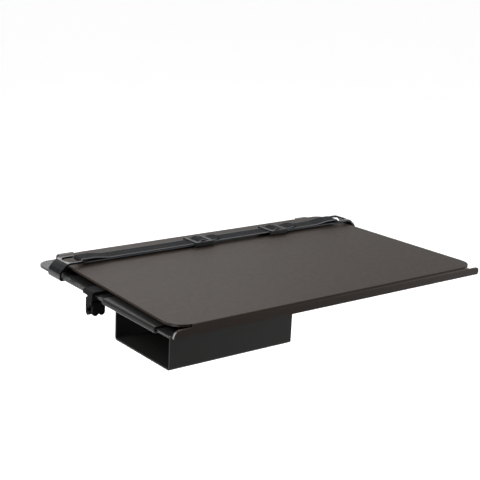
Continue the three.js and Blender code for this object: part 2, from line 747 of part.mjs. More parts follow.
// Laptop strap: a hook that goes round the rail's edge and carries the strap on a bar
function addStrapHook(name, side) {
  const under = railBottom - fitGap - half(strapHookThickness);
  const head = platformTop + strapHookLift;
  const front = strapCentre - half(strapHookWidth);
  const back = strapCentre + half(strapHookWidth);
  const line = roundedLine([
    point(side * (railEdge - strapHookToe), under), point(side * strapHookWall, under),
    point(side * strapHookWall, platformTop - strapHookShoulder),
    point(side * (strapHookTip + strapHookHead), head), point(side * strapHookTip, head),
  ], [strapHookToeBend, strapHookBend, strapHookBend], cornerSteps);
  const body = prismY(stripSection(line, strapHookThickness), front, back);
  const windowCorners = [
    point(side * strapWindowInner, front + strapHookCheek),
    point(side * strapWindowOuter, front + strapHookCheek),
    point(side * strapWindowOuter, back - strapHookCheek),
    point(side * strapWindowInner, back - strapHookCheek),
  ];
  const windowOutline = roundedOutline(
    windowCorners, [0, strapHookWindowRadius, strapHookWindowRadius, 0]);
  const opening = prismZ(windowOutline, head - strapHookThickness, head + strapHookThickness);
  const outer = side * (strapHookWall + strapHookThickness);
  const plan = roundedOutline([
    point(outer, front), point(side * strapHookTip, front),
    point(side * strapHookTip, back), point(outer, back),
  ], [0, strapHookTipRadius, strapHookTipRadius, 0]);
  const blank = prismZ(plan, under - strapHookThickness, head + strapHookThickness);
  const hook = toSolid(body).intersect(toSolid(blank)).subtract(toSolid(opening));
  place(name, toGeometry(hook), glossPlastic);
}

// One end loop: out along the lower run, round the hook's bar and back along the upper run.
function strapLoop(side, slider) {
  const low = platformTop + strapLowRun;
  const high = platformTop + strapHighRun;
  const top = platformTop + strapLoopTop;
  return [
    point(slider - side * (half(sliderLength) - strapTail), low), point(side * strapRise, low),
    point(side * strapRise, top), point(side * (strapHookTip - strapRampStart), top),
    point(side * (strapHookTip - strapRampEnd), high),
  ];
}

function addStrap() {
  const corners = [...strapLoop(-1, sliderLeft), ...strapLoop(1, sliderRight).reverse()];
  const line = roundedLine(corners, corners.slice(1, -1).map(() => strapLoopBend));
  place('strap_webbing', prismY(stripSection(line, strapThickness), strapFront, strapBack), strapFabric);
}

// A flat buckle that keeps the strap's two runs together: a sleeve with two windows in its top.
function addSlider(name, middle) {
  const low = platformTop + sliderBottom;
  const high = platformTop + sliderTop;
  const corners = rectangle(
    strapCentre - half(sliderWidth), low, strapCentre + half(sliderWidth), high);
  const tunnel = rectangle(strapFront - fitGap, low + sliderSkin, strapBack + fitGap, high - sliderSkin);
  const sleeve = prismX(evenlyRounded(corners, sliderEdge),
    middle - half(sliderLength), middle + half(sliderLength), [tunnel]);
  const windows = sides.map((side) => {
    const x = middle + side * half(sliderWindowPitch);
    return prismZ(
      rectangle(x - half(sliderWindow), strapFront, x + half(sliderWindow), strapBack),
      high - sliderSkin - fitGap, high + cutMargin);
  });
  place(name, carve(sleeve, [], windows), glossPlastic);
}

addPlatform();
addRail('rail_left', -1);
addRail('rail_right', 1);
addNuts('rail_nut', railStudPlaces, railNutTop, railNutHeight, railNutAcross, railStudDiameter);
addNuts('bracket_nut', bracketStudPlaces,
  bracketNutTop, bracketNutHeight, bracketNutAcross, bracketStudDiameter);
addBracket();
addSocket();
addCapScrews();
addLock();
addDriveCover();
addDriveTray();
addRivets();
addClipBody();
addGate();
addStrap();
addStrapHook('strap_hook_left', -1);
addStrapHook('strap_hook_right', 1);
addSlider('strap_slider_left', sliderLeft);
addSlider('strap_slider_right', sliderRight);

export default group;
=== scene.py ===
"""Looks of the tethering table: softened edges, coats, plastics, metals and the woven strap.

Metres. +X is the user's right, +Y is away from the user, +Z is up.
The origin is the centre of the stand socket's mouth.
"""
import json
import math

import bmesh
import bpy
from mathutils import Matrix, Vector

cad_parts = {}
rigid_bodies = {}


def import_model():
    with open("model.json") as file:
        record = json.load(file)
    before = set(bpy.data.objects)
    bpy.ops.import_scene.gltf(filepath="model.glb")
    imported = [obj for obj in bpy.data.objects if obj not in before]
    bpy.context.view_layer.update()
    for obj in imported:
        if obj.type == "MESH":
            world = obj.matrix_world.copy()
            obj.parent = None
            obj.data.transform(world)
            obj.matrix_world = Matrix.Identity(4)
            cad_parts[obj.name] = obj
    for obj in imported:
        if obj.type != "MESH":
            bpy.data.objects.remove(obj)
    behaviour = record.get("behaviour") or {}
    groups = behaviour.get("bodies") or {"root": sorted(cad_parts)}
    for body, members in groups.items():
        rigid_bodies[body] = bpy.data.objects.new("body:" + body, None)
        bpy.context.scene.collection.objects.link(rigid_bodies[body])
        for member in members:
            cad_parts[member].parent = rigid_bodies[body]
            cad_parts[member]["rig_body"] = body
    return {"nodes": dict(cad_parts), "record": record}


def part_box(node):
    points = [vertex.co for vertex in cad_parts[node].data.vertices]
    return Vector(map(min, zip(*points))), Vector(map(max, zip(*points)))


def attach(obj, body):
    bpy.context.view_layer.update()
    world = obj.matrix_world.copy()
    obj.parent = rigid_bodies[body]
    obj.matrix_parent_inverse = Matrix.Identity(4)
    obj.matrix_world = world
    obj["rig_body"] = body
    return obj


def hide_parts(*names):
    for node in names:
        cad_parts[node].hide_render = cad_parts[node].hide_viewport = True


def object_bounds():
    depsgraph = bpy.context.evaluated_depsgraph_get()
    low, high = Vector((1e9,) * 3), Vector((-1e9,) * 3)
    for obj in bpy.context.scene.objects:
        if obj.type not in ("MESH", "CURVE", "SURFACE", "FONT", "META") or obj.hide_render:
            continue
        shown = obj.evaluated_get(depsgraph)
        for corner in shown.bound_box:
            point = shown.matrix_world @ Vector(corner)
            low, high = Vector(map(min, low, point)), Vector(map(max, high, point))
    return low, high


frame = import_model()
cad_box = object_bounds()
scene = bpy.context.scene
nodes = frame["nodes"]
slots = {p["node"]: p["material_slot"] for p in frame["record"]["subparts"]}

MM = 0.001
WHITE = (1.0, 1.0, 1.0, 1.0)

# Camera: the photograph's place and direction, and its focal length for a 36 mm sensor
CAMERA_PLACE = (-0.7699, -0.94725, 0.4163)
CAMERA_AZIMUTH = math.radians(-37.877)
CAMERA_ELEVATION = math.radians(15.497)
CAMERA_ROLL = math.radians(2.667)
CAMERA_LENS = 83.547
CAMERA_SENSOR = 36.0
CAMERA_REACH = 200.0

# Floor: white paper. FLOOR_WHITE is its colour where it is seen, FLOOR_BOUNCE its colour for
# the light that it throws up, and FLOOR_GLOW makes up for the even light being low
FLOOR_HEIGHT = -0.42
FLOOR_SIZE = 60.0
FLOOR_WHITE = 0.97
FLOOR_BOUNCE = 0.2
FLOOR_GLOW = 0.27
FLOOR_SPECULAR = 0.1
PAPER_CLOUDS = (6, 3)
PAPER_TONES = (0.985, 1.0)
PAPER_MARKS = (30, 2)
PAPER_ROUGHNESS = (0.85, 0.95)

# World: even light, a white backdrop, and the parts of the studio that are dark in reflections,
# each as (direction, cosine of the angle to it where the dark starts, cosine where it is full)
AMBIENT_LEVEL = 0.26
BACKDROP_LEVEL = 1.0
DARK_LEVEL = 0.1
DARK_PARTS = (
    ((0.0, 0.0, 1.0), 0.4, 0.6),
    ((-0.64, 0.74, 0.2), 0.8, 0.93),
)

# Lamps: a wide soft sun, and softboxes as
# (name, place, point that it faces, width, height, watts, half angle of its beam)
SUN_LEVEL = 1.7
SUN_SPREAD = math.radians(42)
SUN_FROM = (-0.3, 0.4, 1.0)
SOFTBOXES = (
    ("back_softbox", (0.75, 1.9, 1.5), (-0.1, 0.0, 0.05), 1.5, 0.9, 12.0, math.radians(80)),
    ("left_softbox", (-1.5, 0.2, 1.15), (0.0, 0.0, 0.03), 0.9, 0.9, 28.0, math.radians(80)),
    ("front_softbox", (0.95, -0.65, 0.1), (0.25, -0.14, 0.04), 0.4, 0.4, 3.4, math.radians(60)),
)

# Softened edges: the rounding's width on each kind of part
SHEET_EDGE = 0.35 * MM
CAST_EDGE = 0.45 * MM
MOULD_EDGE = 0.4 * MM
FASTENER_EDGE = 0.25 * MM
EDGE_SEGMENTS = 3
SHARP_ANGLE = math.radians(32)
FLAT_ANGLE = math.radians(0.4)
WELD_DISTANCE = 0.002 * MM
NORMAL_WEIGHT = 100
SOFTENED = {
    "platform_sheet": SHEET_EDGE,
    "rail_left": SHEET_EDGE,
    "rail_right": SHEET_EDGE,
    "drive_cover": SHEET_EDGE,
    "drive_tray": SHEET_EDGE,
    "stand_bracket": CAST_EDGE,
    "stand_socket": CAST_EDGE,
    "lock_knob": MOULD_EDGE,
    "clip_body": MOULD_EDGE,
    "clip_gate": MOULD_EDGE,
    "strap_hook_left": MOULD_EDGE,
    "strap_hook_right": MOULD_EDGE,
    "strap_slider_left": MOULD_EDGE,
    "strap_slider_right": MOULD_EDGE,
}
FASTENERS = ("rail_nut", "bracket_nut", "cap_screw", "drive_rivet")

# Nodes whose finish is a little glossier than the rest of their slot
FINER_LOOK = {"strap_slider_left": "buckle_plastic", "strap_slider_right": "buckle_plastic"}

# Strap, laid along the CAD solid's line: heights of its middle above the platform's top
STRAP_WIDTH = 20.0 * MM
STRAP_THICKNESS = 1.2 * MM
STRAP_SELVEDGE = 0.5 * MM
STRAP_STEP = 1.6 * MM
STRAP_BEND = 1.1 * MM
STRAP_BEND_STEPS = 8
STRAP_RIBS = 18
STRAP_RIB_DEPTH = 0.05 * MM
SELVEDGE_ANGLES = (45, 0, -45)
LOW_RUN = 2.5 * MM
HIGH_RUN = 4.1 * MM
LOOP_TOP = 6.5 * MM
LOOP_X = 187.9 * MM
RAMP_START_X = 171.0 * MM
RAMP_END_X = 153.0 * MM
LEFT_TAIL_X = -13.0 * MM
RIGHT_TAIL_X = 76.0 * MM

# Webbing on the buckles, in mm from the buckle's middle and its top face, and the loose end
# behind it, from the buckle's right side. Its reach is scaled to the length on each side
HUMP_LINE = (
    (-7.6, -0.9), (-5.2, -0.5), (-3.2, 0.6), (0.0, 1.1), (3.2, 0.6), (5.2, -0.5), (7.6, -0.9),
)
HUMP_WIDTH = 19.0 * MM
HUMP_THICKNESS = 1.0 * MM
LOOSE_END_LINE = ((0.3, -1.0), (5.0, -0.9), (10.0, -0.4), (16.0, 0.3), (20.0, 0.4))
LOOSE_END_LENGTHS = {"left": 0.7, "right": 1.0}
ROUND_END_TIP = 0.12
SMOOTH_STEPS = 6

# Finishes. A noise is (cells a metre, detail) and a bump (depth, strength). Tones are shares of
# the finish's own colour, and rubs are how far the roughness goes to either side
NOISE_ROUGHNESS = 0.55
NOISE_SPAN = (0.3, 0.7)
RUBBED = (0.11, 0.11, 0.108, 1.0)

EDGE_SAMPLES = 4
EDGE_SPAN = (0.015, 0.12)
EDGE_PATCHES = (90, 3)
EDGE_PATCH_SHARES = (0.15, 1.0)

COAT_CLOUDS = (14, 3)
COAT_CLOUD_TONES = (0.96, 1.04)
COAT_SPECKLE = (2600, 1)
COAT_SPECKLE_SPAN = (0.38, 0.66)
COAT_SPECKLE_SHARE = 0.35
COAT_SPECKLE_TONE = 1.7
COAT_EDGE = 0.9 * MM
COAT_WEAR = 0.16
COAT_MARKS = (160, 3)
COAT_RUBS = (-0.02, 0.02)
COAT_PEEL = (620, 2)
COAT_PEEL_BUMP = (0.05 * MM, 0.6)
COAT_GRAIN = (2300, 2)
COAT_GRAIN_BUMP = (0.02 * MM, 0.8)

# The lip's left end, where the sheet's cut face carries a painted highlight: full up to the first
# distance from a point below the platform's corner, fading out at the reach, and only on faces
# that turn far enough to the left
CUT_END_HIGHLIGHT = (0.2, 0.2, 0.2, 1.0)
CUT_END_HIGHLIGHT_REACH = 14.0 * MM
CUT_END_HIGHLIGHT_FULL = 0.7 * CUT_END_HIGHLIGHT_REACH
CUT_END_HIGHLIGHT_INWARD = 3 * MM
CUT_END_HIGHLIGHT_BELOW_TOP = 8 * MM
CUT_END_HIGHLIGHT_FACING = (0.5, 0.8)

GLOSS_CLOUDS = (20, 3)
GLOSS_CLOUD_TONES = (0.85, 1.15)
GLOSS_EDGE = 0.7 * MM
GLOSS_WEAR = 0.4
GLOSS_WIPES = (70, 4)
GLOSS_WIPE_STRETCH = (1.0, 0.15, 1.0)
GLOSS_RUBS = (-0.05, 0.08)
GLOSS_PEEL = (420, 2)
GLOSS_PEEL_BUMP = (0.02 * MM, 0.5)

MOULD_FLOW = (60, 3)
MOULD_FLOW_TONES = (0.85, 1.2)
MOULD_RIM = 0.6 * MM
MOULD_WEAR = 0.4
MOULD_WEAR_TONE = 3.5
MOULD_MARKS = (240, 4)
MOULD_MARK_STRETCH = (0.25, 1.0, 1.0)
MOULD_RUBS = (-0.05, 0.1)
MOULD_SKIN = (1500, 2)
MOULD_SKIN_STRENGTH = 0.7
MOULD_SINK = (130, 1)
MOULD_SINK_BUMP = (0.04 * MM, 0.35)

METAL_CLOUDS = (40, 3)
METAL_CLOUD_TONES = (0.86, 1.06)
METAL_EDGE = 0.5 * MM
METAL_WEAR = 0.5
METAL_WEAR_TONE = 1.35
METAL_LINE_DETAIL = 3
METAL_LINE_STRENGTH = 0.6
METAL_RUBS = (-0.07, 0.12)

RIB_PITCH = 1.1 * MM
PICK_PITCH = 1.3 * MM
WEAVE_SHARE = 0.3
RIDGE_SHARE = 0.5
WEAVE_BUMP = (0.22 * MM, 1.0)
THREAD_SPAN = (-0.3, 0.8)
THREAD_TONES = (0.4, 1.7)
STRAP_PATCHES = (35, 3)
STRAP_PATCH_SHARE = 0.4
STRAP_PATCH_TONE = 1.8
FUZZ = (3000, 3)
FUZZ_SHARE = 0.25
FUZZ_TONE = 2.2
FUZZ_BUMP = (0.05 * MM, 0.6)
FUZZ_ROUGHNESS = (0.78, 0.95)
# Painted highlight along both selvedges of the strap: where it starts and is full, and its tone
SELVEDGE_HIGHLIGHT_SPAN = (STRAP_WIDTH / 2 - 1.5 * MM, STRAP_WIDTH / 2 - 1.1 * MM)
SELVEDGE_HIGHLIGHT_TONE = 11.0
STRAP_SPECULAR = 0.06
STRAP_SHEEN = 0.02
STRAP_SHEEN_ROUGHNESS = 0.5

# The Mix node's sockets for each kind of value: (first input, second input, output)
MIX_SOCKETS = {"FLOAT": (2, 3, 0), "RGBA": (6, 7, 2)}


def add_object(name, data):
    """A new object in the scene."""
    made = bpy.data.objects.new(name, data)
    scene.collection.objects.link(made)
    return made


def make_camera():
    """The photograph's camera, from its place, direction and roll."""
    forward = Vector((
        -math.sin(CAMERA_AZIMUTH) * math.cos(CAMERA_ELEVATION),
        math.cos(CAMERA_AZIMUTH) * math.cos(CAMERA_ELEVATION),
        -math.sin(CAMERA_ELEVATION),
    ))
    level_right = forward.cross(Vector((0, 0, 1))).normalized()
    level_down = forward.cross(level_right)
    right = math.cos(CAMERA_ROLL) * level_right - math.sin(CAMERA_ROLL) * level_down
    down = math.sin(CAMERA_ROLL) * level_right + math.cos(CAMERA_ROLL) * level_down
    turn = Matrix((right, -down, -forward)).transposed()
    data = bpy.data.cameras.new("camera")
    data.lens = CAMERA_LENS
    data.sensor_width = CAMERA_SENSOR
    data.clip_end = CAMERA_REACH
    camera = add_object("camera", data)
    camera.matrix_world = Matrix.Translation(CAMERA_PLACE) @ turn.to_4x4()
    scene.camera = camera


class NodeTree:
    """A node tree, with short calls for what the materials and the world share."""

    def __init__(self, tree):
        self.tree = tree
        self.tree.nodes.clear()

    def add(self, kind, **settings):
        node = self.tree.nodes.new(kind)
        for key, value in settings.items():
            setattr(node, key, value)
        return node

    def feed(self, node, socket, value):
        """Link an output to the socket, or set the socket itself to a number, point or colour."""
        target = node.inputs[socket]
        if isinstance(value, bpy.types.NodeSocket):
            self.tree.links.new(value, target)
        else:
            target.default_value = value

    def math(self, operation, *values, clamp=False):
        node = self.add("ShaderNodeMath", operation=operation, use_clamp=clamp)
        for i, value in enumerate(values):
            self.feed(node, i, value)
        return node.outputs[0]

    def times(self, first, second):
        return self.math("MULTIPLY", first, second)

    def vector(self, operation, first, second):
        """A number from two vectors, such as their distance or dot product."""
        node = self.add("ShaderNodeVectorMath", operation=operation)
        self.feed(node, 0, first)
        self.feed(node, 1, second)
        return node.outputs["Value"]

    def spread(self, value, low, high, span=NOISE_SPAN, interpolation="LINEAR"):
        """From low, where the value is at the span's start, to high at its end."""
        node = self.add("ShaderNodeMapRange", interpolation_type=interpolation)
        self.feed(node, "Value", value)
        self.feed(node, "From Min", span[0])
        self.feed(node, "From Max", span[1])
        self.feed(node, "To Min", low)
        self.feed(node, "To Max", high)
        return node.outputs[0]

    def share(self, value, span=NOISE_SPAN):
        """How far along the span the value is, from 0 to 1."""
        return self.spread(value, 0.0, 1.0, span)

    def mix(self, share, first, second, kind="FLOAT"):
        """The first value where the share is 0 and the second where it is 1."""
        first_input, second_input, output = MIX_SOCKETS[kind]
        node = self.add("ShaderNodeMix", data_type=kind)
        self.feed(node, 0, share)
        self.feed(node, first_input, first)
        self.feed(node, second_input, second)
        return node.outputs[output]

    def blend(self, share, first, second):
        return self.mix(share, first, second, "RGBA")


class Surface(NodeTree):
    """A material of one shader, with the patterns that the finishes share."""

    def __init__(self, name):
        self.material = bpy.data.materials.new(name)
        self.material.use_nodes = True
        super().__init__(self.material.node_tree)
        self.shader = self.add("ShaderNodeBsdfPrincipled")
        output = self.add("ShaderNodeOutputMaterial")
        self.feed(output, 0, self.shader.outputs[0])
        self.place = self.add("ShaderNodeTexCoord").outputs["Object"]

    def shade(self, values):
        """Feed the shader's sockets and give the finished material."""
        for socket, value in values.items():
            self.feed(self.shader, socket, value)
        return self.material

    def noise(self, scale, detail, stretch=None):
        node = self.add("ShaderNodeTexNoise")
        self.feed(node, "Vector", self.stretched(stretch) if stretch else self.place)
        self.feed(node, "Scale", scale)
        self.feed(node, "Detail", detail)
        self.feed(node, "Roughness", NOISE_ROUGHNESS)
        return node.outputs[0]

    def stretched(self, scale):
        node = self.add("ShaderNodeMapping")
        self.feed(node, "Vector", self.place)
        self.feed(node, "Scale", scale)
        return node.outputs[0]

    def bump(self, height, depth, strength, below=None):
        node = self.add("ShaderNodeBump")
        self.feed(node, "Height", height)
        self.feed(node, "Distance", depth)
        self.feed(node, "Strength", strength)
        if below is not None:
            self.feed(node, "Normal", below)
        return node.outputs[0]

    def normal(self):
        return self.add("ShaderNodeNewGeometry").outputs["Normal"]

    def split(self, vector):
        """The vector's three parts."""
        node = self.add("ShaderNodeSeparateXYZ")
        self.feed(node, 0, vector)
        return node.outputs

    def leftward(self):
        """How far the surface faces the left, from -1 to 1."""
        return self.times(self.split(self.normal())[0], -1.0)

    def edges(self, radius):
        """From 0 on flats to 1 along worn edges, broken up by noise."""
        soft = self.add("ShaderNodeBevel", samples=EDGE_SAMPLES)
        self.feed(soft, "Radius", radius)
        alike = self.vector("DOT_PRODUCT", soft.outputs[0], self.normal())
        away = self.math("SUBTRACT", 1.0, alike)
        patches = self.spread(self.noise(*EDGE_PATCHES), *EDGE_PATCH_SHARES)
        return self.math("MULTIPLY", self.share(away, EDGE_SPAN), patches, clamp=True)

    def clouds(self, pattern, color, tones):
        """The colour in two tones, in soft patches."""
        share = self.share(self.noise(*pattern))
        return self.blend(share, tone(color, tones[0]), tone(color, tones[1]))

    def worn(self, body, radius, wear, color):
        """The body with its edges rubbed toward another colour."""
        return self.blend(self.times(self.edges(radius), wear), body, color)

    def rubs(self, pattern, roughness, reach):
        """The roughness, varied by the pattern."""
        return self.spread(pattern, roughness + reach[0], roughness + reach[1])


def tone(color, share):
    """A lighter or darker tone of the colour, as the shader takes it."""
    return tuple(min(1.0, c * share) for c in color) + (1.0,)


def powder_coat(name, color, roughness, specular, grain=1.0, highlight_spot=None):
    """Fine-textured coat on sheet metal: orange peel, a fine grain and lighter rubbed edges.

    grain scales the texture's depth. The last argument is a point around which the sheet's
    left-facing cut face gets a painted highlight.
    """
    s = Surface(name)
    body = s.clouds(COAT_CLOUDS, color, COAT_CLOUD_TONES)
    speckle = s.share(s.noise(*COAT_SPECKLE), COAT_SPECKLE_SPAN)
    body = s.blend(s.times(speckle, COAT_SPECKLE_SHARE), body, tone(color, COAT_SPECKLE_TONE))
    body = s.worn(body, COAT_EDGE, COAT_WEAR, RUBBED)
    # Painted highlight on the cut face: lighter around the point, on faces that turn to the left
    if highlight_spot is not None:
        distance = s.vector("DISTANCE", s.place, highlight_spot)
        highlight_near = s.spread(distance, 1.0, 0.0, (CUT_END_HIGHLIGHT_FULL, CUT_END_HIGHLIGHT_REACH))
        highlight_facing = s.share(s.leftward(), CUT_END_HIGHLIGHT_FACING)
        body = s.blend(s.times(highlight_facing, highlight_near), body, CUT_END_HIGHLIGHT)
    peel_depth, peel_strength = COAT_PEEL_BUMP
    peel = s.bump(s.noise(*COAT_PEEL), peel_depth * grain, peel_strength)
    grain_depth, grain_strength = COAT_GRAIN_BUMP
    return s.shade({
        "Base Color": body,
        "Roughness": s.rubs(s.noise(*COAT_MARKS), roughness, COAT_RUBS),
        "Normal": s.bump(s.noise(*COAT_GRAIN), grain_depth * grain, grain_strength, peel),
        "Specular IOR Level": specular,
    })


def glossy_coat(name, color, roughness, specular):
    """Smooth black coat: a long orange peel, faint wipe marks and a thin worn line at edges."""
    s = Surface(name)
    body = s.clouds(GLOSS_CLOUDS, color, GLOSS_CLOUD_TONES)
    wipes = s.noise(*GLOSS_WIPES, GLOSS_WIPE_STRETCH)
    return s.shade({
        "Base Color": s.worn(body, GLOSS_EDGE, GLOSS_WEAR, RUBBED),
        "Roughness": s.rubs(wipes, roughness, GLOSS_RUBS),
        "Normal": s.bump(s.noise(*GLOSS_PEEL), *GLOSS_PEEL_BUMP),
        "Specular IOR Level": specular,
    })


def moulded(name, color, roughness, specular, texture):
    """Moulded plastic: a faint flow pattern, a fine texture, handling marks and paler edges."""
    s = Surface(name)
    body = s.clouds(MOULD_FLOW, color, MOULD_FLOW_TONES)
    marks = s.noise(*MOULD_MARKS, MOULD_MARK_STRETCH)
    skin = s.bump(s.noise(*MOULD_SKIN), texture, MOULD_SKIN_STRENGTH)
    return s.shade({
        "Base Color": s.worn(body, MOULD_RIM, MOULD_WEAR, tone(color, MOULD_WEAR_TONE)),
        "Roughness": s.rubs(marks, roughness, MOULD_RUBS),
        "Normal": s.bump(s.noise(*MOULD_SINK), *MOULD_SINK_BUMP, skin),
        "Specular IOR Level": specular,
    })


def brushed(name, color, roughness, line_cells, stretch, depth):
    """Worked metal: long fine scratches, cloudy patches and brighter edges."""
    s = Surface(name)
    lines = s.noise(line_cells, METAL_LINE_DETAIL, stretch)
    body = s.clouds(METAL_CLOUDS, color, METAL_CLOUD_TONES)
    return s.shade({
        "Base Color": s.worn(body, METAL_EDGE, METAL_WEAR, tone(color, METAL_WEAR_TONE)),
        "Roughness": s.rubs(lines, roughness, METAL_RUBS),
        "Normal": s.bump(lines, depth, METAL_LINE_STRENGTH),
        "Metallic": 1.0,
    })


def strap_middle():
    """The strap's centre line, as its place from front to back."""
    low_corner, high_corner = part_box("strap_webbing")
    return (low_corner[1] + high_corner[1]) / 2


def webbing(name, color):
    """Woven elastic: ribs along the strap, picks across it, a painted highlight along both
    selvedges and a soft sheen.
    """
    s = Surface(name)
    x, across, z = s.split(s.place)
    rib = s.math("SINE", s.times(across, 2 * math.pi / RIB_PITCH))
    pick = s.math("SINE", s.times(s.math("ADD", x, z), 2 * math.pi / PICK_PITCH))
    weave = s.times(s.times(rib, pick), WEAVE_SHARE)
    ridge = s.times(s.math("ABSOLUTE", rib), RIDGE_SHARE)
    height = s.math("ADD", weave, ridge)
    fuzz = s.noise(*FUZZ)
    dark_tone, light_tone = THREAD_TONES
    thread = s.share(height, THREAD_SPAN)
    body = s.blend(thread, tone(color, dark_tone), tone(color, light_tone))
    patches = s.share(s.noise(*STRAP_PATCHES))
    body = s.blend(s.times(patches, STRAP_PATCH_SHARE), body, tone(color, STRAP_PATCH_TONE))
    body = s.blend(s.times(fuzz, FUZZ_SHARE), body, tone(color, FUZZ_TONE))
    # Painted highlight: both selvedges lighter, standing in for a bound edge catching light
    from_middle = s.math("ABSOLUTE", s.math("SUBTRACT", across, strap_middle()))
    body = s.blend(s.share(from_middle, SELVEDGE_HIGHLIGHT_SPAN), body, tone(color, SELVEDGE_HIGHLIGHT_TONE))
    return s.shade({
        "Base Color": body,
        "Roughness": s.spread(fuzz, *FUZZ_ROUGHNESS),
        "Normal": s.bump(fuzz, *FUZZ_BUMP, s.bump(height, *WEAVE_BUMP)),
        "Specular IOR Level": STRAP_SPECULAR,
        "Sheen Weight": STRAP_SHEEN,
        "Sheen Roughness": STRAP_SHEEN_ROUGHNESS,
    })


def lip_left_end():
    """The lip's left end, below the platform's front left corner: the middle of the painted
    highlight on its cut face.
    """
    low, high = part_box("platform_sheet")
    return (low[0], low[1] + CUT_END_HIGHLIGHT_INWARD, high[2] - CUT_END_HIGHLIGHT_BELOW_TOP)


def make_materials():
    """Every finish by its name, which is a slot's name or one that FINER_LOOK gives."""
    finishes = (
        (powder_coat, "table_coat", dict(
            color=(0.0235, 0.0172, 0.0135), roughness=0.45, specular=0.075,
            highlight_spot=lip_left_end())),
        (glossy_coat, "rail_coat", dict(
            color=(0.008, 0.008, 0.008), roughness=0.24, specular=0.34)),
        (powder_coat, "compartment_coat", dict(
            color=(0.0095, 0.0093, 0.009), roughness=0.4, specular=0.13)),
        (brushed, "bare_aluminium", dict(
            color=(0.66, 0.67, 0.68), roughness=0.34,
            line_cells=900, stretch=(1.0, 0.03, 0.3), depth=0.01 * MM)),
        (brushed, "zinc_steel", dict(
            color=(0.58, 0.59, 0.6), roughness=0.28,
            line_cells=700, stretch=(1.0, 1.0, 0.2), depth=0.008 * MM)),
        (powder_coat, "black_steel", dict(
            color=(0.018, 0.018, 0.02), roughness=0.4, specular=0.5, grain=0.4)),
        (brushed, "pad_brass", dict(
            color=(0.62, 0.45, 0.18), roughness=0.3,
            line_cells=800, stretch=(0.2, 1.0, 1.0), depth=0.008 * MM)),
        (moulded, "matte_plastic", dict(
            color=(0.0095, 0.0095, 0.0098), roughness=0.66, specular=0.04, texture=0.018 * MM)),
        (moulded, "buckle_plastic", dict(
            color=(0.0095, 0.0095, 0.0098), roughness=0.4, specular=0.2, texture=0.01 * MM)),
        (moulded, "gloss_plastic", dict(
            color=(0.008, 0.0085, 0.009), roughness=0.14, specular=0.45, texture=0.002 * MM)),
        (webbing, "strap_fabric", dict(color=(0.0105, 0.0108, 0.0115))),
    )
    return {name: finish(name, **values) for finish, name, values in finishes}


def body_name(node):
    return nodes[node]["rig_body"]


def give(piece, material):
    piece.data.materials.clear()
    piece.data.materials.append(material)


def finish_piece(piece, node):
    """Let the piece stand for the node: the finish of the node's slot, its body, and the node
    hidden.
    """
    give(piece, materials[FINER_LOOK.get(node, slots[node])])
    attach(piece, body_name(node))
    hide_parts(node)


def mesh_from(form, name):
    """The finished form as a mesh."""
    mesh = bpy.data.meshes.new(name)
    form.to_mesh(mesh)
    form.free()
    return mesh


def merged_mesh(node, name):
    """The node's form again, with the flat faces' triangles joined up."""
    form = bmesh.new()
    form.from_mesh(nodes[node].data)
    bmesh.ops.remove_doubles(form, verts=form.verts, dist=WELD_DISTANCE)
    bmesh.ops.dissolve_limit(form, angle_limit=FLAT_ANGLE, verts=form.verts, edges=form.edges)
    return mesh_from(form, name)


def soften(node, edge):
    """A copy of the node with rounded edges, which stands for it."""
    name = f"{node}_finished"
    mesh = merged_mesh(node, name)
    mesh.shade_smooth()
    piece = add_object(name, mesh)
    rounding = piece.modifiers.new("edges", "BEVEL")
    rounding.width = edge
    rounding.segments = EDGE_SEGMENTS
    rounding.limit_method = "ANGLE"
    rounding.angle_limit = SHARP_ANGLE
    rounding.use_clamp_overlap = True
    shading = piece.modifiers.new("shading", "WEIGHTED_NORMAL")
    shading.weight = NORMAL_WEIGHT
    shading.keep_sharp = True
    finish_piece(piece, node)


def make_rigid_pieces():
    """Round the edges of the main parts and the fasteners, and finish the nodes that stay."""
    for node, edge in SOFTENED.items():
        soften(node, edge)
    for node in nodes:
        if node.startswith(FASTENERS):
            soften(node, FASTENER_EDGE)
    for node, piece in nodes.items():
        give(piece, materials[slots[node]])


def arc_corner(before, corner, after):
    """Points of the strap's rounded bend at a corner of its line in X and Z."""
    back = (before - corner).normalized()
    ahead = (after - corner).normalized()
    half_angle = math.acos(max(-1.0, min(1.0, back.dot(ahead)))) / 2
    reach = STRAP_BEND / math.tan(half_angle)
    middle = corner + (back + ahead).normalized() * (STRAP_BEND / math.sin(half_angle))
    first = corner + back * reach - middle
    last = corner + ahead * reach - middle
    sweep = math.atan2(
        first.x * last.y - first.y * last.x, first.x * last.x + first.y * last.y)
    points = []
    for i in range(STRAP_BEND_STEPS + 1):
        turn = Matrix.Rotation(sweep * i / STRAP_BEND_STEPS, 2)
        points.append(middle + turn @ first)
    return points


def subdivided(line, step):
    """The line with points about a step apart."""
    points = [line[0]]
    for here, there in zip(line, line[1:]):
        parts = max(1, round((there - here).length / step))
        points.extend(here.lerp(there, (i + 1) / parts) for i in range(parts))
    return points


def strap_line():
    """The strap's line: from its left tail round both hooks to its right tail."""
    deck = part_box("platform_sheet")[1][2]
    low = deck + LOW_RUN
    high = deck + HIGH_RUN
    top = deck + LOOP_TOP
    corners = [
        Vector((LEFT_TAIL_X, low)), Vector((-LOOP_X, low)), Vector((-LOOP_X, top)),
        Vector((-RAMP_START_X, top)), Vector((-RAMP_END_X, high)),
        Vector((RAMP_END_X, high)), Vector((RAMP_START_X, top)),
        Vector((LOOP_X, top)), Vector((LOOP_X, low)), Vector((RIGHT_TAIL_X, low)),
    ]
    line = [corners[0]]
    for before, corner, after in zip(corners, corners[1:], corners[2:]):
        line.extend(arc_corner(before, corner, after))
    line.append(corners[-1])
    return subdivided(line, STRAP_STEP)


